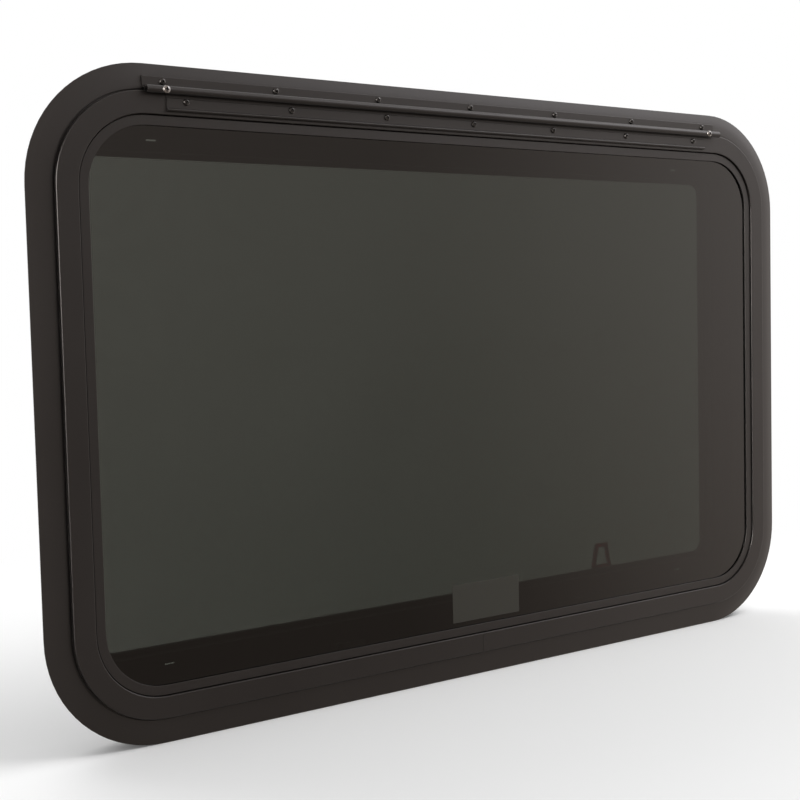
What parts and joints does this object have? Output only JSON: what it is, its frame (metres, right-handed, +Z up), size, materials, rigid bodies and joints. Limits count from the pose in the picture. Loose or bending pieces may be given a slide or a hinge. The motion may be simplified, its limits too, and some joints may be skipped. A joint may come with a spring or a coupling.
{
  "type": "caravan window",
  "caption": "Top-hung caravan window: rounded flanged frame, tinted glazed sash on a continuous hinge, clamp trim and insect screen.",
  "frame": {"origin": "on the flat back of the flange, at the middle of the bottom band and of the window's width", "axes": "+X to the right seen from outside, +Y into the wall and the cabin, +Z up"},
  "size_m": [0.88, 0.0711, 0.565],
  "materials": {
    "frame_finish": "satin dark bronze powder coat on aluminium",
    "sash_finish": "satin dark bronze powder coat on aluminium",
    "hinge_finish": "satin dark bronze powder coat on aluminium",
    "trim_finish": "matte dark brown powder coat on aluminium",
    "screen_finish": "matte dark brown powder coat on aluminium",
    "screen_plastic": "moulded, fine texture",
    "mesh_wire": "woven wire, dull grey coating",
    "tinted_glass": "dark grey-green tinted safety glass, polished",
    "seal_rubber": "extruded black rubber",
    "loop_plastic": "moulded red plastic",
    "latch_plastic": "moulded black plastic, fine texture",
    "latch_steel": "zinc plated"
  },
  "bodies": {
    "root": {"outer_frame": "frame_finish", "sash_seal": "seal_rubber", "hinge_frame_leaf": "hinge_finish", "hinge_sash_leaf": "hinge_finish", "sash_frame": "sash_finish", "glazing_bead": "sash_finish", "outer_glazing_gasket": "seal_rubber", "inner_glazing_gasket": "seal_rubber", "glass_pane": "tinted_glass", "inner_trim": "trim_finish", "screen_rail_bottom": "screen_finish", "screen_rail_right": "screen_finish", "screen_rail_top": "screen_finish", "screen_rail_left": "screen_finish", "screen_corners": "screen_plastic", "screen_spline": "seal_rubber", "screen_mesh": "mesh_wire", "screen_clips": "screen_plastic", "pull_loop": "loop_plastic", "latch_base_left": "latch_plastic", "latch_base_right": "latch_plastic", "latch_handle_left": "latch_plastic", "latch_handle_right": "latch_plastic", "latch_cam_left": "latch_steel", "latch_cam_right": "latch_steel", "latch_keeper_left": "latch_steel", "latch_keeper_right": "latch_steel"}
  },
  "joints": []
}
